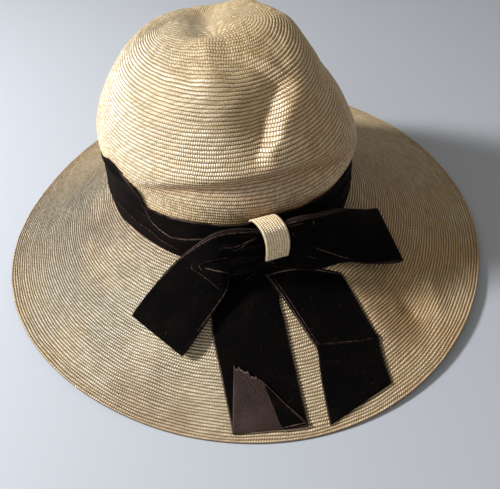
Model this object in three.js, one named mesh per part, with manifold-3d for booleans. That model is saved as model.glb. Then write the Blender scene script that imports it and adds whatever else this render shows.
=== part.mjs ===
// A straw hat with a wide wavy brim, a dented crown, a pleated velvet ribbon round the
// head line, and a flat bow of two loops and two tails held by a strip of straw plait.
// Millimetres, +Z up. The brim's edge rests on z = 0 and the bow faces -Y.

import * as THREE from 'three';
import { mergeVertices } from 'three/addons/utils/BufferGeometryUtils.js';
import Module from 'manifold-3d';

// Driving dimensions
const strawWall = 1.6;
const ribbonThickness = 1.1;
const seamGap = 0.3;

const brimRadius = 190;
const brimInsideHeight = 44;
const brimFall = 1.5;
const brimLipShare = 0.05;
const brimWaves = 3;
const brimWaveRise = 3;
const brimWaveFlat = 0.8;
const brimWaveAngle = THREE.MathUtils.degToRad(30);

const headCentre = new THREE.Vector2(-12, 8);
const headRadius = 90;
const headOval = 0.94;
const headTurn = THREE.MathUtils.degToRad(-45);

const bandBottom = 45;
const bandTop = 82;
const bandPleats = 3;
const bandPleatDepth = 1.5;
const bandFlare = 2.4;

const knotAngle = THREE.MathUtils.degToRad(-73.5);
const keeperWidth = 17.5;
const keeperThickness = 1.5;
const keeperSlant = 0.13;
const keeperOffset = -2;
const loopHalfGap = 1.7;

// How far the brim's edge leaves a circle, as soft lobes round it.
const brimEdgeShape = [
  { lobes: 2, along: -1.7, aside: 1.1 },
  { lobes: 3, along: -0.9, aside: -0.9 },
  { lobes: 4, along: 0.1, aside: 1.5 },
];

// The crown's outside from the brim to the top: height, mean radius, and how far the
// section's centre has moved from the head line's.
const crownSections = [
  { height: 45.9, radius: 90.0, shiftX: 0, shiftY: 0 },
  { height: 64, radius: 90.0, shiftX: 0, shiftY: 0 },
  { height: 84, radius: 89.6, shiftX: 0, shiftY: -1 },
  { height: 95, radius: 90.8, shiftX: -1, shiftY: -1.5 },
  { height: 106, radius: 87.6, shiftX: -2, shiftY: -2 },
  { height: 118, radius: 81.3, shiftX: -3, shiftY: -2 },
  { height: 132, radius: 71.5, shiftX: -4, shiftY: -2 },
  { height: 146, radius: 61.0, shiftX: -3, shiftY: -2 },
  { height: 156, radius: 47.5, shiftX: -2, shiftY: -1 },
  { height: 161.5, radius: 25, shiftX: -1, shiftY: 0 },
  { height: 162.5, radius: 0, shiftX: -1, shiftY: 0 },
];

// Dents and creases of the crown: each valley runs between two points on its outside,
// and a negative depth is a bump.
const crownFolds = [
  { name: 'top valley', from: [-21, -16, 162], to: [-23, 36, 162], halfWidth: 13, depth: 5 },
  { name: 'left of the top', from: [-46, 20, 159], to: [-42, 30, 159], halfWidth: 16, depth: -1 },
  { name: 'right of the top', from: [6, 40, 158], to: [22, 22, 156], halfWidth: 18, depth: -6.5 },
  { name: 'side dent', from: [17, -42, 151], to: [4, -66, 124], halfWidth: 14, depth: 6 },
  { name: 'side dent wall', from: [27, -37, 149], to: [14, -66, 123], halfWidth: 8, depth: 4.5 },
  { name: 'crease on the left', from: [-78, -48, 92], to: [-42, -74, 105], halfWidth: 6, depth: 2.2 },
  { name: 'crease in front', from: [-34, -76, 107], to: [18, -74, 109], halfWidth: 6, depth: 2.4 },
  { name: 'crease on the right', from: [26, -70, 109], to: [66, -34, 95], halfWidth: 6, depth: 2.2 },
];
const crownCore = new THREE.Vector3(-14, 6, 95);

// The crown's wall is built as a side and a top, which meet near the crease.
const crownSplit = 0.35;
const crownSeam = 0.001;

// The tails lie on the brim, so a row gives the two ends of a line across the ribbon and
// the clearance below it there.
const leftTailRows = [
  { leftX: 0, leftY: -88.2, rightX: 13, rightY: -87, leftClear: 9, rightClear: 9 },
  { leftX: -4, leftY: -90.5, rightX: 19, rightY: -89, leftClear: 3.6, rightClear: 3.6 },
  { leftX: -11, leftY: -97, rightX: 19, rightY: -95.5, leftClear: 1.0, rightClear: 1.0 },
  { leftX: -20, leftY: -107, rightX: 19.5, rightY: -105, leftClear: 0.5, rightClear: 0.5 },
  { leftX: -26, leftY: -121, rightX: 22.5, rightY: -121, leftClear: 0.5, rightClear: 0.5 },
  { leftX: -20, leftY: -153, rightX: 28, rightY: -152, leftClear: 0.5, rightClear: 0.5 },
  { leftX: -14, leftY: -184, rightX: 32.5, rightY: -181.5, leftClear: 0.5, rightClear: 0.5 },
  { leftX: -14, leftY: -185.2, rightX: 32.5, rightY: -182.7, leftClear: 1.3, rightClear: 1.3 },
  { leftX: -13.8, leftY: -184, rightX: 31.5, rightY: -180.5, leftClear: 2.1, rightClear: 2.1 },
  { leftX: -13, leftY: -165, rightX: 19, rightY: -168.5, leftClear: 2.1, rightClear: 2.1 },
  { leftX: -12, leftY: -145.5, rightX: 5.5, rightY: -155, leftClear: 2.4, rightClear: 2.4 },
];
const hemCornerRows = [
  { leftX: 14.5, leftY: -181, rightX: 30, rightY: -179.6, leftClear: 2.8, rightClear: 2.8 },
  { leftX: 7.2, leftY: -158.6, rightX: 8.2, rightY: -159, leftClear: 2.8, rightClear: 2.8 },
];
const rightTailRows = [
  { leftX: 10.5, leftY: -94, rightX: 63.5, rightY: -87.5, leftClear: 4.5, rightClear: 0.6 },
  { leftX: 23, leftY: -108.5, rightX: 73.5, rightY: -106.5, leftClear: 2.4, rightClear: 0.5 },
  { leftX: 40, leftY: -132.5, rightX: 82.5, rightY: -125.5, leftClear: 0.5, rightClear: 0.5 },
  { leftX: 42, leftY: -135.5, rightX: 84, rightY: -128.5, leftClear: 1.6, rightClear: 1.6 },
  { leftX: 42.8, leftY: -139, rightX: 84.6, rightY: -132, leftClear: 0.6, rightClear: 0.6 },
  { leftX: 44, leftY: -160, rightX: 86.5, rightY: -145, leftClear: 0.5, rightClear: 0.5 },
  { leftX: 46, leftY: -182.5, rightX: 88.4, rightY: -158, leftClear: 0.5, rightClear: 0.5 },
];

// The loops stand at the knot and lie down on the brim: the ends of each line across the
// folded ribbon, from the knot to the fold.
const leftLoopRows = [
  { backX: 10, backY: -91.2, backZ: 78, frontX: 13, frontY: -91.4, frontZ: 56 },
  { backX: -4, backY: -91, backZ: 77.5, frontX: 0, frontY: -93, frontZ: 51 },
  { backX: -19, backY: -91.5, backZ: 73, frontX: -12, frontY: -98, frontZ: 45.5 },
  { backX: -35, backY: -88.5, backZ: 61, frontX: -19, frontY: -108, frontZ: 37 },
  { backX: -49, backY: -88, backZ: 49, frontX: -26, frontY: -119, frontZ: 28.5 },
  { backX: -63, backY: -97, backZ: 38, frontX: -35, frontY: -128.5, frontZ: 22.5 },
  { backX: -78, backY: -110, backZ: 25, frontX: -44, frontY: -138, frontZ: 18.5 },
];
const rightLoopRows = [
  { backX: 16, backY: -87.5, backZ: 81, frontX: 19, frontY: -87.5, frontZ: 56.5 },
  { backX: 29, backY: -84.5, backZ: 83.5, frontX: 32, frontY: -86.8, frontZ: 50 },
  { backX: 45, backY: -79.5, backZ: 82, frontX: 49, frontY: -88.5, frontZ: 42.5 },
  { backX: 63, backY: -66.5, backZ: 69.5, frontX: 67, frontY: -82.5, frontZ: 39 },
  { backX: 82, backY: -49, backZ: 50, frontX: 87, frontY: -80.5, frontZ: 31.5 },
  { backX: 97.5, backY: -34, backZ: 38.5, frontX: 108.5, frontY: -74.5, frontZ: 26 },
];

// The straw keeper goes over the knot: how far out from the band, and the height.
const keeperRows = [
  { out: -1.3, height: 84.2 },
  { out: 2, height: 87 },
  { out: 7.5, height: 86.5 },
  { out: 11.2, height: 81 },
  { out: 12.4, height: 73.5 },
  { out: 12.7, height: 66 },
  { out: 12.2, height: 59 },
  { out: 11.2, height: 53 },
];

// Facets
const crownTurns = 48;
const crownSideSteps = 6;
const crownTopSteps = 14;
const brimTurns = 64;
const brimSteps = 10;
const bandTurns = 52;
const pleatSteps = 3;
const ribbonAcross = 6;
const rowSteps = 2;
const mergeDistance = 1e-4;
const closingSteps = 12;
const smallStep = 1e-3;

const wasm = await Module();
wasm.setup();

// A geometry as one closed body: only positions, with shared corners merged.
function closedBody(geometry) {
  geometry.deleteAttribute('normal');
  geometry.deleteAttribute('uv');
  const merged = mergeVertices(geometry, mergeDistance);
  const corners = merged.index.array;
  const kept = [];
  for (let i = 0; i < corners.length; i += 3) {
    const [a, b, c] = [corners[i], corners[i + 1], corners[i + 2]];
    if (a !== b && b !== c && c !== a) kept.push(a, b, c);
  }
  merged.setIndex(kept);
  merged.computeVertexNormals();
  return merged;
}

// Moves every corner of a geometry to where the function puts it.
function shaped(geometry, moved) {
  const places = geometry.attributes.position;
  const corner = new THREE.Vector3();
  for (let i = 0; i < places.count; i += 1) {
    corner.fromBufferAttribute(places, i);
    const place = moved(corner);
    places.setXYZ(i, place.x, place.y, place.z);
  }
  return closedBody(geometry);
}

function solid(geometry) {
  const mesh = new wasm.Mesh({
    numProp: 3,
    vertProperties: new Float32Array(geometry.attributes.position.array),
    triVerts: new Uint32Array(geometry.index.array),
  });
  return new wasm.Manifold(mesh);
}

function joined(first, second) {
  const mesh = solid(first).add(solid(second)).getMesh();
  const geometry = new THREE.BufferGeometry();
  geometry.setAttribute('position', new THREE.BufferAttribute(mesh.vertProperties, 3));
  geometry.setIndex(new THREE.BufferAttribute(mesh.triVerts, 1));
  return closedBody(geometry);
}

// A closed lathe profile turned about Z.
function turned(profile, turns) {
  return new THREE.LatheGeometry(profile, turns).rotateX(Math.PI / 2);
}

// The head line's oval: the distance from its centre at an angle, for a mean radius of 1.
function ovalFactor(angle) {
  const long = 1 / Math.sqrt(headOval);
  const short = Math.sqrt(headOval);
  return 1 / Math.hypot(Math.cos(angle - headTurn) / long, Math.sin(angle - headTurn) / short);
}

// The brim runs from the head line, where the share is 0, out to the edge, where it is 1.
function brimInside(angle) {
  return (headRadius - strawWall) * ovalFactor(angle);
}

function brimEdge(angle) {
  let reach = brimRadius;
  for (const row of brimEdgeShape) {
    reach += row.along * Math.cos(row.lobes * angle) + row.aside * Math.sin(row.lobes * angle);
  }
  return reach;
}

function brimUnderside(angle, share) {
  const wave = brimWaveRise * (1 - Math.cos(brimWaves * (angle - brimWaveAngle)));
  const edgeHeight = Math.max(0, wave - brimWaveFlat);
  const reach = THREE.MathUtils.clamp(share / (1 - brimLipShare), 0, 1);
  return edgeHeight * reach ** brimFall + brimInsideHeight * (1 - reach) ** brimFall;
}

function brimPoint(angle, share, height) {
  const reach = THREE.MathUtils.lerp(brimInside(angle), brimEdge(angle), share);
  const x = headCentre.x * (1 - share) + reach * Math.cos(angle);
  const y = headCentre.y * (1 - share) + reach * Math.sin(angle);
  return new THREE.Vector3(x, y, brimUnderside(angle, share) + height);
}

// The height of the brim's upper face at a place, found by closing in on its angle and share.
function brimTop(x, y) {
  let angle = 0;
  let share = 0.5;
  for (let step = 0; step < closingSteps; step += 1) {
    const fromX = x - headCentre.x * (1 - share);
    const fromY = y - headCentre.y * (1 - share);
    angle = Math.atan2(fromY, fromX);
    const inside = brimInside(angle);
    share = (Math.hypot(fromX, fromY) - inside) / (brimEdge(angle) - inside);
  }
  return brimUnderside(angle, share) + strawWall;
}

function brimGeometry() {
  const upper = [];
  const lower = [];
  for (let i = 0; i <= brimSteps; i += 1) {
    const reach = 1 - (1 - i / (brimSteps - 1)) ** brimFall;
    const share = i === brimSteps ? 1 : (1 - brimLipShare) * reach;
    lower.push(new THREE.Vector2(1 + share, 0));
    upper.push(new THREE.Vector2(1 + share, strawWall));
  }
  const profile = [...lower, ...upper.reverse(), lower[0]];
  return shaped(turned(profile, brimTurns), (p) =>
    brimPoint(Math.atan2(p.y, p.x), Math.hypot(p.x, p.y) - 1, p.z));
}

// The crown's section columns as smooth curves over the height.
const crownProfile = new THREE.SplineCurve(
  crownSections.map((row) => new THREE.Vector2(row.radius, row.height)),
);

function crownShift(height) {
  const last = crownSections.length - 1;
  const upper = crownSections.findIndex((row) => row.height >= height);
  const i = THREE.MathUtils.clamp(upper < 0 ? last : upper, 1, last);
  const [low, high] = [crownSections[i - 1], crownSections[i]];
  const share = THREE.MathUtils.clamp((height - low.height) / (high.height - low.height), 0, 1);
  return new THREE.Vector2(
    THREE.MathUtils.lerp(low.shiftX, high.shiftX, share),
    THREE.MathUtils.lerp(low.shiftY, high.shiftY, share),
  );
}

const foldLines = crownFolds.map((fold) => ({
  line: new THREE.Line3(new THREE.Vector3(...fold.from), new THREE.Vector3(...fold.to)),
  halfWidth: fold.halfWidth,
  depth: fold.depth,
}));

// A crown point from the round profile: made oval, leaned, then pressed in along the folds.
function crownPoint(p) {
  const factor = ovalFactor(Math.atan2(p.y, p.x));
  const shift = crownShift(p.z);
  const point = new THREE.Vector3(
    headCentre.x + shift.x + p.x * factor,
    headCentre.y + shift.y + p.y * factor,
    p.z,
  );
  const inward = crownCore.clone().sub(point).normalize();
  const nearest = new THREE.Vector3();
  let pressed = 0;
  for (const fold of foldLines) {
    fold.line.closestPointToPoint(point, true, nearest);
    const away = nearest.distanceTo(point) / fold.halfWidth;
    pressed += fold.depth * Math.exp(-away * away);
  }
  return point.addScaledVector(inward, pressed);
}

// A stretch of the crown's wall between two places on its profile.
function crownGeometry(from, to, steps) {
  const outer = [];
  const inner = [];
  for (let i = 0; i <= steps; i += 1) {
    const place = THREE.MathUtils.lerp(from, to, i / steps);
    const at = crownProfile.getPoint(place);
    const along = crownProfile.getTangent(place);
    outer.push(at);
    inner.push(new THREE.Vector2(
      place === 1 ? 0 : at.x - along.y * strawWall,
      place === 0 ? at.y : at.y + along.x * strawWall,
    ));
  }
  const profile = [...outer, ...inner.reverse(), outer[0]];
  return shaped(turned(profile, crownTurns), crownPoint);
}

// The ribbon round the head line: three soft pleats lying one above the other.
function bandGeometry() {
  const steps = bandPleats * pleatSteps;
  const outer = [];
  const inner = [];
  for (let i = 0; i <= steps; i += 1) {
    const share = i / steps;
    const height = THREE.MathUtils.lerp(bandBottom, bandTop, share);
    const pleat = bandPleatDepth * Math.abs(Math.sin(Math.PI * bandPleats * share));
    const flare = bandFlare * (1 - share) ** 2;
    const inside = headRadius + seamGap + flare;
    inner.push(new THREE.Vector2(inside, height));
    outer.push(new THREE.Vector2(inside + ribbonThickness + pleat, height));
  }
  const profile = [...outer, ...inner.reverse(), outer[0]];
  return shaped(turned(profile, bandTurns), crownPoint);
}

// A ribbon from a function that places its middle surface: u across and v along, 0 to 1.
function ribbonGeometry(place, acrossSteps, alongSteps, thickness) {
  const sheet = new THREE.BoxGeometry(1, 1, 1, acrossSteps, alongSteps, 1);
  return shaped(sheet, (p) => {
    const u = p.x + 0.5;
    const v = p.y + 0.5;
    const across = place(Math.min(1, u + smallStep), v).sub(place(Math.max(0, u - smallStep), v));
    const along = place(u, Math.min(1, v + smallStep)).sub(place(u, Math.max(0, v - smallStep)));
    const normal = across.cross(along).normalize();
    return place(u, v).addScaledVector(normal, p.z * thickness);
  });
}

// Smooth curves through the two ends of a ribbon's rows.
function edgeCurve(points) {
  return new THREE.CatmullRomCurve3(points, false, 'centripetal');
}

// A column of a ribbon's rows, taken in straight stretches from row to row.
function columnAt(rows, column, v) {
  const place = v * (rows.length - 1);
  const i = Math.min(rows.length - 2, Math.floor(place));
  return THREE.MathUtils.lerp(rows[i][column], rows[i + 1][column], place - i);
}

// A ribbon lying on the brim, from rows of its two edges and their clearances.
function lyingRibbon(rows) {
  const left = edgeCurve(rows.map((row) => new THREE.Vector3(row.leftX, row.leftY, 0)));
  const right = edgeCurve(rows.map((row) => new THREE.Vector3(row.rightX, row.rightY, 0)));
  const place = (u, v) => {
    const point = left.getPoint(v).lerp(right.getPoint(v), u);
    const clear = THREE.MathUtils.lerp(columnAt(rows, 'leftClear', v), columnAt(rows, 'rightClear', v), u);
    point.z = brimTop(point.x, point.y) + clear + ribbonThickness / 2;
    return point;
  };
  return ribbonGeometry(place, ribbonAcross, (rows.length - 1) * rowSteps, ribbonThickness);
}

// A flattened loop: the ribbon runs out below the rows, turns at the fold and comes back above.
function loopGeometry(rows) {
  const backs = rows.map((row) => new THREE.Vector3(row.backX, row.backY, row.backZ));
  const fronts = rows.map((row) => new THREE.Vector3(row.frontX, row.frontY, row.frontZ));
  const last = rows.length - 1;
  const middle = (i) => backs[i].clone().lerp(fronts[i], 0.5);
  const lifts = rows.map((row, i) => {
    const along = middle(Math.min(last, i + 1)).sub(middle(Math.max(0, i - 1)));
    const across = fronts[i].clone().sub(backs[i]);
    return across.cross(along).normalize().multiplyScalar(-loopHalfGap);
  });
  const outward = middle(last).sub(middle(last - 1)).setLength(loopHalfGap);
  const path = (edge) => [
    ...edge.map((point, i) => point.clone().sub(lifts[i])),
    edge[last].clone().add(outward),
    ...edge.map((point, i) => point.clone().add(lifts[i])).reverse(),
  ];
  const back = edgeCurve(path(backs));
  const front = edgeCurve(path(fronts));
  const place = (u, v) => back.getPoint(v).lerp(front.getPoint(v), u);
  return ribbonGeometry(place, ribbonAcross, (2 * rows.length) * rowSteps, ribbonThickness);
}

// The strip of straw plait over the knot, its ends tucked behind the band and the bow.
function keeperGeometry() {
  const outward = new THREE.Vector3(Math.cos(knotAngle), Math.sin(knotAngle), 0);
  const sideways = new THREE.Vector3(-outward.y, outward.x, 0);
  const bandFace = (headRadius + seamGap + ribbonThickness + bandPleatDepth) * ovalFactor(knotAngle);
  const path = edgeCurve(keeperRows.map((row) => {
    const middle = new THREE.Vector3(headCentre.x, headCentre.y, row.height);
    return middle.addScaledVector(outward, bandFace + row.out);
  }));
  const place = (u, v) => {
    const point = path.getPoint(v);
    const slant = keeperSlant * (keeperRows[0].height - point.z);
    return point.addScaledVector(sideways, (u - 0.5) * keeperWidth + slant + keeperOffset);
  };
  return ribbonGeometry(place, ribbonAcross, (keeperRows.length - 1) * rowSteps, keeperThickness);
}

function tailLeftGeometry() {
  const tail = lyingRibbon(leftTailRows);
  const corner = lyingRibbon(hemCornerRows);
  return joined(tail, corner);
}

const strawColour = 0xd8c092;
const plaitColour = 0xe4d6b2;
const velvetColour = 0x1c1411;

const pieces = [
  { name: 'brim', geometry: brimGeometry(), colour: strawColour, roughness: 0.6 },
  {
    name: 'crown_side',
    geometry: crownGeometry(0, crownSplit - crownSeam, crownSideSteps),
    colour: strawColour,
    roughness: 0.6,
  },
  {
    name: 'crown_top',
    geometry: crownGeometry(crownSplit, 1, crownTopSteps),
    colour: strawColour,
    roughness: 0.6,
  },
  { name: 'ribbon_band', geometry: bandGeometry(), colour: velvetColour, roughness: 0.95 },
  { name: 'bow_tail_left', geometry: tailLeftGeometry(), colour: velvetColour, roughness: 0.95 },
  {
    name: 'bow_tail_right',
    geometry: lyingRibbon(rightTailRows),
    colour: velvetColour,
    roughness: 0.95,
  },
  { name: 'bow_loop_left', geometry: loopGeometry(leftLoopRows), colour: velvetColour, roughness: 0.95 },
  { name: 'bow_loop_right', geometry: loopGeometry(rightLoopRows), colour: velvetColour, roughness: 0.95 },
  { name: 'bow_keeper', geometry: keeperGeometry(), colour: plaitColour, roughness: 0.6 },
];

const hat = new THREE.Group();
hat.name = 'straw_hat';
for (const piece of pieces) {
  const material = new THREE.MeshStandardMaterial({
    color: piece.colour,
    roughness: piece.roughness,
    metalness: 0,
  });
  const mesh = new THREE.Mesh(piece.geometry, material);
  mesh.name = piece.name;
  hat.add(mesh);
}

export default hat;
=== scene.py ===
import math
import bmesh
import bpy
from mathutils import Matrix, Vector, noise


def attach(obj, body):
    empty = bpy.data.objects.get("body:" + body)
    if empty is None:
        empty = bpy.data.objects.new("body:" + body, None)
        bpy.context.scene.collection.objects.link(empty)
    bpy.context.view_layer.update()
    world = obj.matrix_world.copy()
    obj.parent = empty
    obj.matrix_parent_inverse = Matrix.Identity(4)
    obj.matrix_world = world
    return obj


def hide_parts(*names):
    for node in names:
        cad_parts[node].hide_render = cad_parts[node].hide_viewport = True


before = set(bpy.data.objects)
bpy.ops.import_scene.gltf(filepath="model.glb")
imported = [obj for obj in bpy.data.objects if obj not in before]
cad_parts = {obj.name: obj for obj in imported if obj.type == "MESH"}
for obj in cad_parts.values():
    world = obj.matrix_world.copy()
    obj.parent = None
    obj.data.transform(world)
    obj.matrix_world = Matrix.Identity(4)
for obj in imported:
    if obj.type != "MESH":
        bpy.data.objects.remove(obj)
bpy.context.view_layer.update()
mm = 0.001  # tables below are in millimetres, meshes in metres
strawWall = 1.6
ribbonThickness = 1.1
ridgeMiddle = 0.6  # share of a row's ridge that lies below the wall's own surface
farOff = 9.0  # farther from a fold than its wear reaches
print("frame loaded")


# Curves and small sums

def clamp(value, low=0.0, high=1.0):
    return min(max(value, low), high)


def lerp(first, second, share):
    return first + (second - first) * share


def smoothStep(low, high, value):
    share = clamp((value - low) / (high - low))
    return share * share * (3 - 2 * share)


def smoothAt(points, share):
    # centripetal curve through the points
    place = clamp(share) * (len(points) - 1)
    i = min(int(place), len(points) - 2)
    p1 = points[i]
    p2 = points[i + 1]
    p0 = points[i - 1] if i > 0 else p1 * 2 - p2
    p3 = points[i + 2] if i + 2 < len(points) else p2 * 2 - p1
    knots = [0.0]
    for a, b in ((p0, p1), (p1, p2), (p2, p3)):
        knots.append(knots[-1] + max((b - a).length, 1e-6) ** 0.5)
    k0, k1, k2, k3 = knots
    at = lerp(k1, k2, place - i)
    a1 = p0.lerp(p1, (at - k0) / (k1 - k0))
    a2 = p1.lerp(p2, (at - k1) / (k2 - k1))
    a3 = p2.lerp(p3, (at - k2) / (k3 - k2))
    b1 = a1.lerp(a2, (at - k0) / (k2 - k0))
    b2 = a2.lerp(a3, (at - k1) / (k3 - k1))
    return b1.lerp(b2, (at - k1) / (k2 - k1))


def columnAt(rows, column, share):
    place = clamp(share) * (len(rows) - 1)
    i = min(int(place), len(rows) - 2)
    return lerp(rows[i][column], rows[i + 1][column], place - i)


def tableAt(table, value):
    # straight stretches between (value, result) pairs
    for (v0, r0), (v1, r1) in zip(table, table[1:]):
        if value <= v1:
            return lerp(r0, r1, clamp((value - v0) / (v1 - v0)))
    return table[-1][1]


def towards(point, start, line):
    # from a point to the nearest place on a stretch of line
    return start + line * clamp((point - start).dot(line) / line.length_squared) - point


def wrapped(angle):
    # degrees from -180 to 180
    return (math.degrees(angle) + 180) % 360 - 180


def ridgeLift(ridge, row):
    # rounded top of a sewn row, lowest where two rows meet
    return ridge * (abs(math.sin(math.pi * row)) - ridgeMiddle)


# Shader sums

class Wire:
    def __init__(self, finish, socket):
        self.finish = finish
        self.socket = socket

    def __add__(self, other):
        return self.finish.maths("ADD", self, other)

    def __radd__(self, other):
        return self.finish.maths("ADD", other, self)

    def __sub__(self, other):
        return self.finish.maths("SUBTRACT", self, other)

    def __rsub__(self, other):
        return self.finish.maths("SUBTRACT", other, self)

    def __mul__(self, other):
        return self.finish.maths("MULTIPLY", self, other)

    def __rmul__(self, other):
        return self.finish.maths("MULTIPLY", other, self)


class Finish:
    def __init__(self, name, **constants):
        self.material = bpy.data.materials.new(name)
        self.material.use_nodes = True
        self.tree = self.material.node_tree
        self.shader = self.tree.nodes["Principled BSDF"]
        for socket, value in constants.items():
            self.shader.inputs[socket.replace("_", " ")].default_value = value

    def node(self, kind, settings, sockets, out=0):
        node = self.tree.nodes.new(kind)
        for key, value in settings.items():
            setattr(node, key, value)
        for key, value in sockets.items():
            self.plug(node.inputs[key], value)
        return Wire(self, node.outputs[out])

    def plug(self, socket, value):
        if isinstance(value, Wire):
            self.tree.links.new(value.socket, socket)
        elif isinstance(value, tuple) and len(value) == 3 and socket.type == "RGBA":
            socket.default_value = (*value, 1.0)
        else:
            socket.default_value = value

    def feed(self, socket, value):
        self.plug(self.shader.inputs[socket], value)

    def maths(self, operation, *values):
        return self.node("ShaderNodeMath", {"operation": operation}, dict(enumerate(values)))

    def ramp(self, value, low, high):
        sockets = {"Value": value, "From Min": low, "From Max": high}
        return self.node("ShaderNodeMapRange", {"interpolation_type": "SMOOTHSTEP"}, sockets)

    def mix(self, share, first, second, blend="MIX"):
        settings = {"data_type": "RGBA", "blend_type": blend, "clamp_factor": True}
        return self.node("ShaderNodeMix", settings, {0: share, 6: first, 7: second}, 2)

    def mapped(self):
        # the piece's own map: along the row or across the ribbon, then the other way
        return self.split(self.node("ShaderNodeUVMap", {"uv_map": "rows"}, {}))[:2]

    def place(self):
        return self.node("ShaderNodeTexCoord", {}, {}, "Object")

    def attribute(self, name, out):
        return self.node("ShaderNodeAttribute", {"attribute_name": name}, {}, out)

    def split(self, vector):
        parts = self.node("ShaderNodeSeparateXYZ", {}, {0: vector}).socket.node.outputs
        return [Wire(self, part) for part in parts]

    def joined(self, x, y, z=0.0):
        return self.node("ShaderNodeCombineXYZ", {}, {0: x, 1: y, 2: z})

    def chance(self, vector):
        return self.node("ShaderNodeTexWhiteNoise", {"noise_dimensions": "3D"}, {"Vector": vector})

    def cloud(self, vector, scale, detail=2.0):
        sockets = {"Vector": vector, "Scale": scale, "Detail": detail}
        return self.node("ShaderNodeTexNoise", {"noise_dimensions": "3D"}, sockets)

    def near(self, middle, reach):
        # 1 at a place on the hat, fading to 0 at the reach
        settings = {"operation": "DISTANCE"}
        away = self.node("ShaderNodeVectorMath", settings, {0: self.place(), 1: Vector(middle) * mm}, 1)
        return self.ramp(away, reach * mm, 0.0)

    def relief(self, height, depth):
        # a bump of so many millimetres
        self.feed("Normal", self.node("ShaderNodeBump", {}, {"Height": height, "Distance": depth * mm}))


def strawFinish(name, look):
    finish = Finish(name, IOR=1.7, Specular_IOR_Level=look["gloss"])
    along, row = finish.mapped()
    index = finish.maths("FLOOR", row)
    across = row - index
    rowChance = finish.chance(finish.joined(index, 3.7))
    strand = along + rowChance * look["rowShift"] + across * look["slant"]  # no two rows start alike
    cell = finish.maths("FLOOR", strand)
    cellChance = finish.chance(finish.joined(cell, index, 1.3))
    rounded = finish.maths("SINE", (strand - cell) * math.pi)  # each strand is round
    bead = 1.0 - (1.0 - rounded) * look["beading"]
    groove = finish.ramp(finish.maths("ABSOLUTE", across - 0.5), look["grooveFrom"], 0.5)
    patches = finish.cloud(finish.place(), look["patchScale"], 3.0)
    # painted highlight on each strand's round middle, and painted shade in the grooves between rows that is
    # partly the joints' own darker colour; each cell also has its own tone
    strandGlintShadeAndTone = (1.0 - groove) * bead * (1.0 - cellChance * look["spread"])
    colour = finish.mix(finish.ramp(strandGlintShadeAndTone, 0.0, 0.35), look["deep"], look["tan"])
    colour = finish.mix(finish.ramp(strandGlintShadeAndTone, 0.35, 0.95), colour, look["pale"])
    colour = finish.mix(rowChance * look["rowSpread"], colour, look["tan"])
    colour = finish.mix(finish.ramp(patches, 0.45, 0.8) * look["ageing"], colour, look["aged"], "MULTIPLY")
    # the soilAndShade attribute darkens with painted shade under the crown's ledge, a handled brim edge, and
    # darker strips just over and under the ribbon
    colour = finish.mix(finish.attribute("soilAndShade", "Fac"), colour, look["soilAndShade"], "MULTIPLY")
    # stains, and marks of painted highlight, painted reflection and painted shade
    for stainOrLight in look["stainsAndPaintedLight"]:
        mask = finish.near(stainOrLight["middle"], stainOrLight["reach"]) * finish.ramp(patches, 0.2, 0.55)
        blend = stainOrLight.get("blend", "MULTIPLY")
        colour = finish.mix(mask * stainOrLight["strength"], colour, stainOrLight["colour"], blend)
    finish.feed("Base Color", colour)
    finish.feed("Roughness", look["roughness"] + cellChance * 0.15 + groove * 0.45)
    finish.relief(bead * (1.0 - groove * 0.5), look["relief"])
    return finish.material


def velvetFinish(name, look):
    finish = Finish(name, Roughness=look["roughness"], IOR=1.15, Sheen_Weight=look["sheen"],
                    Sheen_Roughness=0.35, Sheen_Tint=look["sheenTint"])
    across = finish.mapped()[0]
    edge = 0.5 - finish.maths("ABSOLUTE", across - 0.5)
    folds = finish.split(finish.attribute("folds", "Vector"))
    wearAndHighlight = finish.split(finish.attribute("wearAndHighlight", "Vector"))
    creaseWearAndHighlight = 0.0
    for away, wornAndLit in zip(folds, wearAndHighlight):
        creaseWearAndHighlight = finish.ramp(finish.maths("ABSOLUTE", away), look["crease"], 0.0) * wornAndLit + creaseWearAndHighlight
    lint = finish.cloud(finish.place(), 420.0, 3.0)
    rubbed = finish.cloud(finish.place(), 60.0, 3.0)
    thread = finish.ramp(finish.cloud(finish.place(), 600.0, 2.0), 0.35, 0.62)
    wornAndLit = finish.ramp(edge, look["edge"], 0.0) * finish.ramp(rubbed, 0.3, 0.6)
    wornAndLit = wornAndLit * finish.attribute("fray", "Fac")
    colour = finish.mix(finish.ramp(rubbed, 0.45, 0.75) * look["rub"], look["dark"], look["brown"])
    if look["twill"] > 0:
        x, y = finish.split(finish.place())[:2]
        rib = finish.maths("SINE", (x + y) * look["twillScale"] + thread * 5.0)  # uneven slanting threads
        colour = finish.mix(finish.ramp(rib, 0.0, 1.0) * look["twill"], colour, look["dust"])
    colour = finish.mix(finish.ramp(lint, 0.64, 0.78) * look["lint"], colour, look["dust"])
    # pale edges and fold lines: partly rubbed and frayed pile, partly painted highlight
    colour = finish.mix(wornAndLit * look["wearAndHighlight"], colour, look["dust"])
    colour = finish.mix(creaseWearAndHighlight * (0.2 + thread * 0.8), colour, look["thread"])
    finish.feed("Base Color", colour)
    finish.relief(finish.cloud(finish.place(), 900.0, 2.0), look["relief"])
    return finish.material


# Building

def addPiece(name, bm, materials, nodes):
    mesh = bpy.data.meshes.new(name)
    bm.normal_update()
    bm.to_mesh(mesh)
    bm.free()
    mesh.shade_smooth()
    for material in materials:
        mesh.materials.append(material)
    piece = bpy.data.objects.new(name, mesh)
    bpy.context.scene.collection.objects.link(piece)
    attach(piece, "root")
    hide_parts(*nodes)
    return piece


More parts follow.
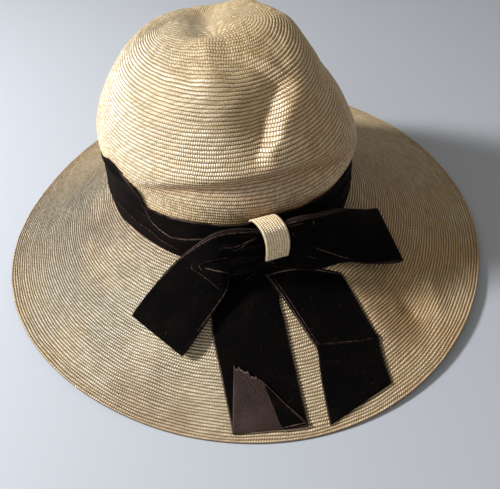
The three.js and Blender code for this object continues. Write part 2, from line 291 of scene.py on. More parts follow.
def strawShell(bm, turns, profile, strandPitch, place, soilAndShadeAt):
    # a grid wrapped round the hat: x goes round, y follows the closed profile of the wall
    uv = bm.loops.layers.uv.new("rows")
    steps = len(profile) - 1
    bmesh.ops.create_grid(bm, x_segments=turns, y_segments=steps, size=0.5, calc_uvs=True)
    for face in bm.faces:
        rowStep = int(sum(loop[uv].uv.y for loop in face.loops) / 4 * steps)
        radius = profile[rowStep]["radius"]
        for loop in face.loops:
            end = profile[round(loop[uv].uv.y * steps)]
            row = end["row"] if end["row"] >= profile[rowStep]["row"] - 1 else profile[rowStep]["row"]
            loop[uv].uv = (loop[uv].uv.x * math.tau * radius / strandPitch, row)
    soilAndShade = bm.verts.layers.float.new("soilAndShade")
    for vert in bm.verts:
        angle = (vert.co.x + 0.5) * math.tau + math.pi / 2  # the join is at the back
        end = profile[round((vert.co.y + 0.5) * steps)]
        vert[soilAndShade] = soilAndShadeAt(angle, end)
        vert.co = place(angle, end) * mm
    bmesh.ops.remove_doubles(bm, verts=bm.verts, dist=0.00001)
    bmesh.ops.recalc_face_normals(bm, faces=bm.faces)


def unworn(across, along):
    return Vector((farOff, farOff, farOff)), Vector((0, 0, 0)), 1.0


def ribbon(bm, across, along, place, wearAndHighlight=unworn):
    # each point keeps its distance to three fold lines, how pale those are (partly worn pile, partly painted
    # highlight), and the edge's fraying
    if not bm.loops.layers.uv:
        bm.loops.layers.uv.new("rows")
        bm.verts.layers.float_vector.new("folds")
        bm.verts.layers.float_vector.new("wearAndHighlight")
        bm.verts.layers.float.new("fray")
    layers = bm.verts.layers
    grid = bmesh.ops.create_grid(bm, x_segments=across, y_segments=along, size=0.5, calc_uvs=True)
    for vert in grid["verts"]:
        u = vert.co.x + 0.5
        v = vert.co.y + 0.5
        folds, wornAndLit, fray = wearAndHighlight(u, v)
        vert[layers.float_vector["folds"]] = folds
        vert[layers.float_vector["wearAndHighlight"]] = wornAndLit
        vert[layers.float["fray"]] = fray
        vert.co = place(u, v) * mm
    return grid["verts"]


def thicken(piece, thickness, reverse=0):
    wall = piece.modifiers.new("thickness", "SOLIDIFY")
    wall.thickness = thickness * mm
    wall.offset = 0.0
    wall.material_offset = reverse
    wall.use_rim = True


# Brim

brim = {
    "centre": Vector((-12.0, 8.0)), "headRadius": 90.0, "headOval": 0.94, "headTurn": math.radians(-45),
    "edgeRadius": 190.0, "insideHeight": 44.0, "fall": 1.5, "lipShare": 0.05,
    "waves": 3, "waveRise": 3.0, "waveFlat": 0.8, "waveAngle": math.radians(30),
    "lobes": ((2, -1.7, 1.1), (3, -0.9, -0.9), (4, 0.1, 1.5)),
    "rows": 57, "ridge": 0.9, "rowSteps": 3, "turns": 340, "underSteps": 40, "sway": 0.44, "strandPitch": 1.6,
    "ripples": [  # two ends of each soft fold, its width and rise
        ((102, -78, 0), (112, -103, 0), 10, -2.8), ((112, -103, 0), (125, -136, 0), 10, -2.2),
        ((71, -93, 0), (90, -126, 0), 11, 2.6), ((129, -82, 0), (138, -126, 0), 10, 2.3),
        ((-138, -86, 0), (-104, -140, 0), 14, 1.8), ((-110, -60, 0), (-78, -112, 0), 16, -2.2),
        ((-150, -20, 0), (-140, 30, 0), 17, 1.8), ((-70, -150, 0), (-48, -120, 0), 13, 1.6),
        ((110, 45, 0), (135, 70, 0), 16, 1.5),
    ],
}
rippleLines = [(Vector(a), Vector(b) - Vector(a), width, rise) for a, b, width, rise in brim["ripples"]]


def ovalFactor(angle):
    long = 1 / math.sqrt(brim["headOval"])
    short = math.sqrt(brim["headOval"])
    turned = angle - brim["headTurn"]
    return 1 / math.hypot(math.cos(turned) / long, math.sin(turned) / short)


def brimInside(angle):
    return (brim["headRadius"] - strawWall) * ovalFactor(angle)


def brimEdge(angle):
    lobes = (along * math.cos(n * angle) + aside * math.sin(n * angle) for n, along, aside in brim["lobes"])
    return brim["edgeRadius"] + sum(lobes)


def brimUnderside(angle, share):
    wave = brim["waveRise"] * (1 - math.cos(brim["waves"] * (angle - brim["waveAngle"])))
    edgeHeight = max(0.0, wave - brim["waveFlat"])
    reach = clamp(share / (1 - brim["lipShare"]))
    return edgeHeight * reach ** brim["fall"] + brim["insideHeight"] * (1 - reach) ** brim["fall"]


def rippleAt(x, y, share):
    spot = Vector((x, y, 0))
    inner = smoothStep(0.05, 0.25, share) * (1 - smoothStep(0.75, 0.95, share))  # flat at both edges
    return inner * sum(rise * math.exp(-towards(spot, a, run).length_squared / width ** 2)
                       for a, run, width, rise in rippleLines)


def brimPoint(angle, share, height):
    reach = lerp(brimInside(angle), brimEdge(angle), share)
    x = brim["centre"].x * (1 - share) + reach * math.cos(angle)
    y = brim["centre"].y * (1 - share) + reach * math.sin(angle)
    return Vector((x, y, brimUnderside(angle, share) + rippleAt(x, y, share) + height))


def brimTop(x, y):
    share = 0.5
    for step in range(12):
        fromX = x - brim["centre"].x * (1 - share)
        fromY = y - brim["centre"].y * (1 - share)
        angle = math.atan2(fromY, fromX)
        inside = brimInside(angle)
        share = (math.hypot(fromX, fromY) - inside) / (brimEdge(angle) - inside)
    return brimUnderside(angle, share) + rippleAt(x, y, share) + strawWall


def brimProfile():
    rows = brim["rows"]
    profile = []
    for i in range(rows * brim["rowSteps"] + 1):
        row = i / brim["rowSteps"]
        lift = ridgeLift(brim["ridge"], row)
        share = row / rows
        radius = lerp(brim["headRadius"], brim["edgeRadius"], share)
        profile.append({"share": share, "height": strawWall + lift, "row": row, "radius": radius})
    for i in range(brim["underSteps"] + 1):
        share = 1 - i / brim["underSteps"]
        radius = lerp(brim["headRadius"], brim["edgeRadius"], share)
        profile.append({"share": share, "height": 0.0, "row": share * rows, "radius": radius})
    return profile + [profile[0]]


def brimPlace(angle, end):
    sway = noise.noise(Vector((math.cos(angle) * 9, math.sin(angle) * 9, end["row"] * 0.35)))
    free = clamp(6 * end["share"]) * clamp(40 * (1 - end["share"]))
    share = end["share"] + free * sway * brim["sway"] / brim["rows"]
    return brimPoint(angle, share, end["height"])


def brimSoil(angle, end):
    # handled edge, and darker just under the ribbon
    return 0.5 * smoothStep(0.9, 1.0, end["share"]) + 0.4 * (1 - smoothStep(0.0, 0.12, end["share"]))


strawLook = {
    "pale": (0.90, 0.775, 0.54), "tan": (0.43, 0.29, 0.115), "aged": (0.82, 0.70, 0.48),
    "deep": (0.075, 0.042, 0.014), "soilAndShade": (0.81, 0.62, 0.39), "gloss": 1.0, "roughness": 0.33,
    "slant": 0.5, "rowShift": 7.0, "spread": 0.5, "rowSpread": 0.2, "beading": 0.6, "grooveFrom": 0.28,
    "ageing": 0.3, "patchScale": 28.0, "relief": 0.4,
}
brimStainsAndPaintedLight = [
    # the right half darker and more golden: partly the straw's tone, partly painted shade
    {"middle": (130, -70, 15), "reach": 170, "strength": 1.0, "colour": (0.93, 0.75, 0.46)},
    # painted shade on the left side
    {"middle": (-148, 0, 14), "reach": 95, "strength": 1.0, "colour": (0.50, 0.54, 0.61)},
    {"middle": (-100, -50, 34), "reach": 60, "strength": 1.0, "colour": (0.62, 0.59, 0.55)},
    # painted shade in patches along the front-left edge
    {"middle": (-85, -150, 4), "reach": 16, "strength": 0.6, "colour": (0.70, 0.56, 0.40)},
    {"middle": (-45, -172, 2), "reach": 16, "strength": 0.6, "colour": (0.70, 0.56, 0.40)},
    # painted reflection: the front left and left paler, greyer and bluer
    {"middle": (-85, -120, 12), "reach": 120, "strength": 1.0, "colour": (1.0, 1.14, 1.45)},
    {"middle": (-130, -80, 8), "reach": 75, "strength": 1.0, "colour": (0.76, 0.82, 0.92)},
    {"middle": (-110, -28, 32), "reach": 34, "strength": 0.6, "colour": (0.72, 0.58, 0.42)},
    # painted shade on the front-left edge
    {"middle": (-70, -165, 5), "reach": 40, "strength": 0.7, "colour": (0.72, 0.58, 0.42)},
    # painted shade in the hollow of a ripple at the front right
    {"middle": (100, -120, 12), "reach": 40, "strength": 0.4, "colour": (0.75, 0.6, 0.42)},
]
brimLook = {
    **strawLook, "pale": (0.84, 0.75, 0.56), "tan": (0.42, 0.30, 0.138), "deep": (0.075, 0.047, 0.019),
    "spread": 0.55, "relief": 0.6, "grooveFrom": 0.12, "stainsAndPaintedLight": brimStainsAndPaintedLight,
}

bm = bmesh.new()
strawShell(bm, brim["turns"], brimProfile(), brim["strandPitch"], brimPlace, brimSoil)
addPiece("strawBrim", bm, [strawFinish("brimStraw", brimLook)], ["brim"])
print("brim made")


# Crown

band = {  # here because the crown swells over the ribbon's top edge
    "bottom": 45.0, "around": 400, "up": 64, "standOff": 1.1, "leastStandOff": 1.0, "unevenness": 0.5,
    "topEdge": [  # angle round the head, height
        (-180, 82), (-160, 92), (-153, 98), (-148, 101.5), (-143.7, 101.8), (-139.1, 100.7), (-135.8, 98.2),
        (-132.7, 96.3), (-131.3, 92.3), (-130.2, 88), (-129.4, 82), (-127.9, 78), (-126.2, 77.6),
        (-123.3, 78.2), (-119, 78.6), (-112.8, 78.6), (-106.5, 79.7), (-100.6, 80), (-92.8, 79),
        (-84.4, 79.6), (-78, 82), (-73, 83.6), (-65, 83.8), (-59, 82.8), (-53, 83.4), (-43.6, 82), (-37, 81),
        (-20, 79), (0, 78), (90, 80), (150, 80), (180, 82),
    ],
    "topWornAndLit": [
        (-180, 0), (-141, 0.2), (-135, 2.0), (-129, 3), (-118, 3), (-106, 2.0), (-98, 0.3), (160, 0.3),
        (180, 0),
    ],
    "flare": [
        (-180, 2.6), (-150, 2.6), (-136, 1.0), (-122, 1.0), (-108, 2.4), (-60, 2.6), (-40, 1.0), (20, 0.8),
        (60, 2.0), (180, 2.6),
    ],
    "bulge": [(-180, 0.5), (-160, 1.8), (-145, 1.8), (-130, 0), (160, 0), (180, 0.5)],
    "pleats": [  # each pleat's edge, how far the ribbon below it stands out, and how pale the edge is: partly worn pile, partly painted highlight
        {"line": [(-180, 104), (-133, 100), (-130.5, 92), (-127.3, 75), (-125, 67), (-121.6, 63.5),
                  (-118.2, 61.5), (-115.4, 59.9), (-108, 62.8), (-101.5, 66), (-80, 67), (-40, 70), (0, 66),
                  (90, 66), (160, 70), (180, 104)],
         "step": [(-180, 0), (-131, 0), (-127, 0.7), (-122, 1.6), (-100, 1.5), (-40, 1.0), (150, 1.2),
                  (165, 0), (180, 0)],
         "wornAndLit": [(-180, 0), (-128.5, 0), (-126, 0.6), (-119, 0.8), (-114, 0.3), (-104, 0.25), (-85, 0),
                  (180, 0)]},
        {"line": [(-180, 68), (-154, 69.3), (-141.6, 70.9), (-133.7, 70.1), (-128.8, 69.3), (-125, 66),
                  (180, 66)],
         "step": [(-180, -0.8), (-135, -0.8), (-126, 0), (150, 0), (165, -0.8), (180, -0.8)],
         "wornAndLit": [(-180, 0.12), (-154, 0.18), (-130, 0.25), (-125, 0), (180, 0)]},
        {"line": [(-180, 58), (-145.5, 60.9), (-140.5, 60), (-132.2, 57.5), (-126.2, 56.8), (-122, 53.5),
                  (-116.9, 52.5), (-110, 50), (-60, 54), (0, 54), (180, 58)],
         "step": [(-180, 1.3), (-116, 1.3), (-112, 0.8), (180, 1.3)],
         "wornAndLit": [(-180, 0.06), (-146, 0.18), (-117, 0.22), (-110, 0), (180, 0.06)]},
    ],
}
crown = {
    "sections": [  # height, radius, shift x, shift y
        (45.9, 90.0, 0, 0), (64, 90.0, 0, 0), (84, 89.6, 0, -1), (95, 90.8, -1, -1.5), (106, 87.6, -2, -2),
        (118, 81.3, -3, -2), (132, 71.5, -4, -2), (146, 61.0, -3, -2), (156, 47.5, -2, -1),
        (161.5, 25, -1, 0), (162.5, 0, -1, 0),
    ],
    "folds": [  # from, to, half width, depth
        ((-21, 7, 162), (-22, 40, 162), 12, 5.5), ((-46, 20, 159), (-42, 30, 159), 16, -1),
        ((6, 40, 158), (22, 22, 156), 18, -5), ((-20.4, -5, 162), (-17, -41, 155), 8, -1.6),
        ((-57, -33, 147), (-53, -42, 143.5), 9, 2),
    ],
    "dent": [(29, -30, 151), (25.6, -37, 148.7), (19.8, -48.6, 143.2), (15.8, -55.2, 137.8), (15, -61.8, 130),
             (13, -66, 125.5)],
    "dentDepths": [3, 8, 11, 11.5, 10, 6], "dentLeft": 26.0, "dentRight": [10, 11, 11, 10.5, 8, 5],
    "dentFade": 1.3, "dentRounding": 0.09, "dentFrom": (112, 121),
    "crease": [  # angle round the head, height
        (-155, 84), (-143.6, 90), (-134, 95), (-121, 101.8), (-107.5, 106.6), (-97.5, 108.5), (-88, 110),
        (-76, 112), (-63, 111.5), (-48.6, 108), (-31.4, 100), (-15, 92),
    ],
    "creaseDepth": [
        (-142, 0), (-132, 1.2), (-122, 2.8), (-110, 4), (-90, 4.2), (-65, 4.4), (-40, 4.2), (-15, 0),
    ],
    "swell": [(-180, 0), (-60, 0), (-40, 2.5), (-20, 3), (20, 2), (60, 0), (180, 0)],
    "core": Vector((-14, 6, 95)),
    "rowPitch": 2.35, "ridge": 0.74, "ridgeFrom": (8, 34), "rowSteps": 3, "turns": 300, "insideSteps": 36,
    "curveSteps": 600, "sway": 0.54, "strandPitch": 1.4, "leastRadius": 4.0,
    "topLength": 21.0, "topShift": Vector((-9.6, 12.6)), "topReach": 66.0,
}
foldLines = [(Vector(a), Vector(b) - Vector(a), width, depth) for a, b, width, depth in crown["folds"]]
dentLine = [Vector(point) for point in crown["dent"]]


def crownCurve():
    # the outside from the top down: radius, height, length so far
    ends = [Vector((row[1], row[0])) for row in crown["sections"]]
    points = []
    for i in range(crown["curveSteps"] + 1):
        place = (1 - i / crown["curveSteps"]) * (len(ends) - 1)
        k = min(int(place), len(ends) - 2)
        w = place - k
        p1 = ends[k]
        p2 = ends[k + 1]
        v1 = (p2 - ends[max(0, k - 1)]) * 0.5
        v2 = (ends[min(len(ends) - 1, k + 2)] - p1) * 0.5
        at = (p1 * 2 - p2 * 2 + v1 + v2) * w ** 3 + (p2 * 3 - p1 * 3 - v1 * 2 - v2) * w ** 2 + v1 * w + p1
        length = points[-1][2] + (at - Vector(points[-1][:2])).length if points else 0.0
        points.append((at.x, at.y, length))
    return points


crownLine = crownCurve()


def crownAlong(length):
    # radius, height and outward direction at a length from the top
    low = 1
    high = len(crownLine) - 1
    while low < high:
        i = (low + high) // 2
        if crownLine[i][2] < length:
            low = i + 1
        else:
            high = i
    a = crownLine[low - 1]
    b = crownLine[low]
    share = clamp((length - a[2]) / max(b[2] - a[2], 1e-6))
    ahead = Vector((b[0] - a[0], b[1] - a[1])).normalized()
    return lerp(a[0], b[0], share), lerp(a[1], b[1], share), Vector((-ahead.y, ahead.x))


topLine = [(radius, height) for radius, height, length in crownLine if height > 100]


def topHeight(radius):
    return tableAt(topLine, radius)


def crownShift(height):
    rows = crown["sections"]
    return tableAt([(r[0], r[2]) for r in rows], height), tableAt([(r[0], r[3]) for r in rows], height)


def wallPoint(angle, radius, height):
    # the head oval, leaned as the crown is
    factor = ovalFactor(angle)
    shiftX, shiftY = crownShift(height)
    x = brim["centre"].x + shiftX + radius * factor * math.cos(angle)
    y = brim["centre"].y + shiftY + radius * factor * math.sin(angle)
    return Vector((x, y, height))


def dentPress(point):
    # a long slope on the left of the valley, a short straight wall on its right
    gaps = [towards(point, a, b - a) for a, b in zip(dentLine, dentLine[1:])]
    i = min(range(len(gaps)), key=lambda k: gaps[k].length_squared)
    share = clamp((point + gaps[i] - dentLine[i]).length / (dentLine[i + 1] - dentLine[i]).length)
    depth = lerp(crown["dentDepths"][i], crown["dentDepths"][i + 1], share)
    width = lerp(crown["dentRight"][i], crown["dentRight"][i + 1], share)
    away = gaps[i].length
    slope = math.exp(-(away / crown["dentLeft"]) ** crown["dentFade"])
    wall = math.log1p(math.exp((1 - away / width) / crown["dentRounding"])) * crown["dentRounding"]
    return depth * lerp(wall, slope, smoothStep(-0.6, 0.6, gaps[i].x / max(away, 0.001)))


def creasePress(degrees, height):
    # a ledge with a hollow below it, which fades towards the ribbon
    below = tableAt(crown["crease"], degrees) - height
    hollow = smoothStep(-3.5, 5.5, below) * (1 - smoothStep(5.0, 26.0, below))
    rim = math.exp(-((below + 7) / 6) ** 2)
    return tableAt(crown["creaseDepth"], degrees) * (hollow - 0.3 * rim)


def crownPoint(angle, radius, height):
    degrees = wrapped(angle)
    over = height - tableAt(band["topEdge"], degrees)
    swell = tableAt(crown["swell"], degrees) * smoothStep(-1, 5, over) * (1 - smoothStep(8, 24, over))
    point = wallPoint(angle, radius + swell - creasePress(degrees, height), height)
    pressed = 0.0
    if height > crown["dentFrom"][0]:
        pressed = dentPress(point) * smoothStep(*crown["dentFrom"], height)
    for start, line, width, depth in foldLines:
        pressed += depth * math.exp(-towards(point, start, line).length_squared / width ** 2)
    return point + (crown["core"] - point).normalized() * pressed


def crownProfile():
    total = crownLine[-1][2]
    rows = round(total / crown["rowPitch"])
    profile = []
    for i in range(rows * crown["rowSteps"] + 1):
        row = i / crown["rowSteps"]
        radius, height, out = crownAlong(total * row / rows)
        lift = ridgeLift(crown["ridge"], row) * smoothStep(*crown["ridgeFrom"], radius)
        if i == 0:
            out = Vector((0, 1))
        profile.append({"r": max(0.0, radius + out.x * lift), "z": height + out.y * lift, "row": row,
                        "radius": max(radius, crown["leastRadius"])})
    for i in range(crown["insideSteps"] + 1):
        share = 1 - i / crown["insideSteps"]
        radius, height, out = crownAlong(total * share)
        inside = max(0.0, radius - out.x * strawWall) if share > 0 else 0.0
        low = height if share == 1 else height - out.y * strawWall
        profile.append({"r": inside, "z": low, "row": rows * share,
                        "radius": max(radius, crown["leastRadius"])})
    return profile


def crownPlace(angle, end):
    radius = end["r"]
    height = end["z"]
    sway = noise.noise(Vector((math.cos(angle) * 6, math.sin(angle) * 6, end["row"] * 0.4 + 20)))
    height += clamp(radius / 40) * clamp((height - 50) / 10) * sway * crown["sway"]
    if radius < crown["topReach"]:
        # the rows start as a long oval, off the middle of the top
        early = (1 - radius / crown["topReach"]) ** 2
        x = (radius + crown["topLength"] * early) * math.cos(angle) + crown["topShift"].x * early
        y = radius * math.sin(angle) + crown["topShift"].y * early
        further = math.hypot(x, y)
        height += topHeight(further) - topHeight(radius)
        radius = further
        angle = math.atan2(y, x)
    return crownPoint(angle, radius, height)


def crownLedgeShadeAndRim(angle, end):
    # painted shade in the hollow under the ledge, and darker just over the ribbon
    degrees = wrapped(angle)
    below = tableAt(crown["crease"], degrees) - end["z"]
    over = end["z"] - tableAt(band["topEdge"], degrees)
    strip = tableAt(crown["creaseDepth"], degrees) / 4.2 * math.exp(-((below - 3.5) / 4.5) ** 2)
    return clamp(0.9 * strip + 0.4 * math.exp(-(over / 5) ** 2))


crownStainsAndPaintedLight = [
    {"middle": (4, -84, 90), "reach": 18, "strength": 0.9, "colour": (0.85, 0.55, 0.3)},
    # painted highlight: the lit left side and upper left paler and cooler
    {"middle": (-80, -35, 112), "reach": 75, "strength": 1.0, "colour": (1.0, 1.12, 1.4)},
    {"middle": (-62, 10, 140), "reach": 66, "strength": 1.0, "colour": (1.05, 1.2, 1.55)},
    # painted shade in the top's valley
    {"middle": (-22, 28, 155), "reach": 42, "strength": 0.6, "colour": (0.50, 0.40, 0.245), "blend": "MIX"},
    # painted shade: the right side and the dent darker and warmer
    {"middle": (45, -30, 120), "reach": 85, "strength": 0.9, "colour": (1.0, 0.85, 0.66)},
    # painted shade below the ledge at the front
    {"middle": (14, -80, 86), "reach": 52, "strength": 1.0, "colour": (0.66, 0.6, 0.53)},
]

bm = bmesh.new()
strawShell(bm, crown["turns"], crownProfile(), crown["strandPitch"], crownPlace, crownLedgeShadeAndRim)
crownStraw = strawFinish("crownStraw", {**strawLook, "stainsAndPaintedLight": crownStainsAndPaintedLight})
addPiece("strawCrown", bm, [crownStraw], ["crown_side", "crown_top"])
print("crown made")


# Ribbon band

velvetLook = {
    "dark": (0.0012, 0.0009, 0.001), "brown": (0.0052, 0.0032, 0.0029), "dust": (0.07, 0.05, 0.045),
    "thread": (0.26, 0.17, 0.14), "sheenTint": (0.5, 0.36, 0.32, 1.0), "sheen": 0.07, "roughness": 0.95,
    "rub": 0.6, "lint": 0.2, "wearAndHighlight": 0.8, "edge": 0.03, "crease": 0.4, "relief": 0.12, "twill": 0.0,
}
velvet = velvetFinish("velvet", velvetLook)
reverseLook = {
    **velvetLook, "dark": (0.026, 0.016, 0.0145), "brown": (0.046, 0.030, 0.027),
    "dust": (0.105, 0.078, 0.072), "sheen": 0.02, "twill": 0.4, "twillScale": 4200.0, "rub": 1.0,
    "lint": 0.35,
}
ribbonReverse = velvetFinish("ribbonReverse", reverseLook)


def ribbonPiece(name, bm, node):
    piece = addPiece(name, bm, [velvet, ribbonReverse], [node])
    thicken(piece, ribbonThickness, 1)
    return piece


def bandSpot(across, along):
    degrees = (along * 360 + 270) % 360 - 180
    return degrees, lerp(band["bottom"], tableAt(band["topEdge"], degrees), across)


def bandPlace(across, along):
    degrees, height = bandSpot(across, along)
    angle = math.radians(degrees)
    proud = band["standOff"] + tableAt(band["flare"], degrees) * (1 - across) ** 2
    proud += tableAt(band["bulge"], degrees) * math.sin(math.pi * across)
    for pleat in band["pleats"]:
        below = tableAt(pleat["line"], degrees) - height
        fold = smoothStep(-0.5, 0.7, below) * (0.3 + 0.7 * math.exp(-max(below, 0) / 7))
        proud += fold * tableAt(pleat["step"], degrees)
    bumps = noise.noise(Vector((math.cos(angle) * 5, math.sin(angle) * 5, height * 0.05)))
    proud += bumps * band["unevenness"]
    wall = tableAt([(row[0], row[1]) for row in crown["sections"]], height)
    return wallPoint(angle, wall + max(proud, band["leastStandOff"]), height)


def bandWearAndHighlight(across, along):
    degrees, height = bandSpot(across, along)
    folds = []
    wornAndLit = []
    for pleat in band["pleats"]:
        line = tableAt(pleat["line"], degrees)
        steep = (tableAt(pleat["line"], degrees + 0.5) - line) / 0.8
        folds.append((line - height - 0.3) / math.hypot(1, steep))
        wornAndLit.append(tableAt(pleat["wornAndLit"], degrees))
    return Vector(folds), Vector(wornAndLit), tableAt(band["topWornAndLit"], degrees) * across


bm = bmesh.new()
ribbon(bm, band["up"], band["around"], bandPlace, bandWearAndHighlight)
bmesh.ops.remove_doubles(bm, verts=bm.verts, dist=0.00001)
bmesh.ops.recalc_face_normals(bm, faces=bm.faces)
bandPiece = ribbonPiece("ribbonBand", bm, "ribbon_band")
print("band made")


# Fold lines on the bow's ribbons

def foldSpot(fold, across, along, flat):
    # signed distance in mm to a line of (across, along) shares, and how far along the line
    spot = Vector((across * flat[0], along * flat[1])) / mm
    line = [Vector((u * flat[0], v * flat[1])) / mm for u, v in fold["line"]]
    nearest = (farOff, 0.0)
    for i in range(len(line) - 1):
        run = line[i + 1] - line[i]
        share = clamp((spot - line[i]).dot(run) / run.length_squared)
        away = spot - line[i] - run * share
        if away.length < abs(nearest[0]):
            side = math.copysign(away.length, run.x * away.y - run.y * away.x)
            nearest = (side, (i + share) / (len(line) - 1))
    return nearest


def foldWearAndHighlight(sheet):
    def wearAndHighlight(across, along):
        folds = Vector((farOff, farOff, farOff))
        wornAndLit = Vector((0, 0, 0))
        for i, fold in enumerate(sheet["folds"]):
            away, share = foldSpot(fold, across, along, sheet["flat"])
            if abs(away) < abs(folds[i % 3]):
                folds[i % 3] = away
                fade = 1 - smoothStep(1.2, 2.5, abs(away))
                wornAndLit[i % 3] = fold["wornAndLit"] * math.sin(math.pi * share) ** 0.5 * fade
        return folds, wornAndLit, sheet["fray"]
    return wearAndHighlight


def foldRise(sheet, across, along):
    # how far the folds lift the ribbon
    rise = 0.0
    for fold in sheet["folds"]:
        away, share = foldSpot(fold, across, along, sheet["flat"])
        step = smoothStep(-0.6, 0.6, away) * math.exp(-max(away, 0) / 6)
        rise += fold.get("step", 0.0) * step * math.sin(math.pi * share) ** 0.5
    return rise


# Tails of the bow

leftTail = {
    "rows": [  # left x, left y, right x, right y, clearance over the brim at both ends
        (-6, -89.2, 24, -86.5, 9, 3), (-12, -91.5, 28, -90, 3.6, 1), (-19, -97, 25, -96, 1, 0.6),
        (-24, -107, 19.5, -105, 0.5, 0.5), (-26, -121, 22.5, -121, 0.5, 0.5), (-20, -153, 28, -152, 0.5, 0.5),
        (-14, -184, 32.5, -181.5, 0.5, 0.5), (-14, -185.2, 32.5, -182.7, 1.3, 1.3),
        (-13.8, -184, 31.5, -180.5, 2.1, 2.1), (-13, -165, 19, -168.5, 2.1, 2.1),
        (-12, -145.5, 5.5, -155, 2.4, 2.4),
    ],
    "corner": [(16.2, -184.6, 31.8, -181.8, 2.5, 2.5), (7.2, -158.6, 8.2, -159, 2.8, 2.8)],
    "steps": (36, 150), "cornerSteps": (24, 24), "flat": (0.046, 0.145), "fray": 0.6, "ragged": 2.2,
    "folds": [  # left selvedge, a pale line near the knot, then the turned-up end's cut edge and right selvedge; the lines are partly rubbed pile, partly painted highlight
        {"line": [(0.012, 0.36), (0.012, 0.43), (0.012, 0.5), (0.012, 0.6)], "wornAndLit": 0.4},
        {"line": [(0.35, 0.189), (0.433, 0.12)], "wornAndLit": 0.4},
        {"line": [(0.0, 0.994), (0.5, 0.994), (1.0, 0.994)], "wornAndLit": 1.0},
        {"line": [(0.985, 0.82), (0.985, 0.9), (0.985, 0.99)], "wornAndLit": 0.5},
    ],
}
hemCorner = {
    "flat": (0.02, 0.025), "fray": 1.0,
    "folds": [  # lower edge, then the slanting edge
        {"line": [(0.0, 0.03), (0.5, 0.03), (1.0, 0.03)], "wornAndLit": 0.9},
        {"line": [(0.97, 0.0), (0.97, 0.5), (0.97, 1.0)], "wornAndLit": 0.6},
    ],
}
rightTail = {
    "rows": [
        (10.5, -94, 63.5, -87.5, 4.5, 0.6), (23, -108.5, 73.5, -106.5, 2.4, 0.5),
        (40, -132.5, 82.5, -125.5, 0.5, 0.5), (42, -135.5, 84, -128.5, 1.6, 1.6),
        (42.8, -139, 84.6, -132, 0.6, 0.6), (44, -160, 86.5, -145, 0.5, 0.5),
        (46, -182.5, 88.4, -158, 0.5, 0.5),
    ],
    "steps": (48, 110), "arch": 3.6, "flat": (0.048, 0.09), "fray": 0.6,
    "folds": [  # upper edge, the left selvedge's two lines, then the tuck's two
        {"line": [(0.0, 0.012), (0.5, 0.012), (1.0, 0.012)], "wornAndLit": 0.9},
        {"line": [(0.02, 0.0), (0.02, 0.15), (0.015, 0.33), (0.02, 0.45)], "wornAndLit": 0.8},
        {"line": [(0.065, 0.03), (0.065, 0.15), (0.06, 0.33), (0.06, 0.42)], "wornAndLit": 0.45},
        {"line": [(0.02, 0.42), (0.3, 0.485), (0.617, 0.515), (0.967, 0.53)], "wornAndLit": 0.8},
        {"line": [(0.02, 0.45), (0.3, 0.515), (0.617, 0.545), (0.967, 0.56)], "wornAndLit": 0.3},
    ],
}


def lyingPlace(rows, arch=0.0, ragged=0.0):
    left = [Vector((row[0], row[1], 0)) for row in rows]
    right = [Vector((row[2], row[3], 0)) for row in rows]

    def place(across, along):
        point = smoothAt(left, along).lerp(smoothAt(right, along), across)
        point.y += arch * 4 * across * (1 - across) * (1 - along) ** 6  # rounded upper end
        frayed = noise.noise(Vector((across * 11.0, 0.3, 0.7))) * smoothStep(0.95, 1.0, along)
        point.y += ragged * frayed  # uneven cut end
        clear = lerp(columnAt(rows, 4, along), columnAt(rows, 5, along), across)
        point.z = brimTop(point.x, point.y) + clear + ribbonThickness / 2
        return point
    return place


bm = bmesh.new()
leftPlace = lyingPlace(leftTail["rows"], ragged=leftTail["ragged"])
ribbon(bm, *leftTail["steps"], leftPlace, foldWearAndHighlight(leftTail))
bmesh.ops.reverse_faces(bm, faces=bm.faces)  # pile up
ribbon(bm, *leftTail["cornerSteps"], lyingPlace(leftTail["corner"]), foldWearAndHighlight(hemCorner))
tailLeftPiece = ribbonPiece("tailLeft", bm, "bow_tail_left")

bm = bmesh.new()
rightPlace = lyingPlace(rightTail["rows"], rightTail["arch"])
ribbon(bm, *rightTail["steps"], rightPlace, foldWearAndHighlight(rightTail))
bmesh.ops.reverse_faces(bm, faces=bm.faces)
tailRightPiece = ribbonPiece("tailRight", bm, "bow_tail_right")
print("tails made")


# Loops of the bow

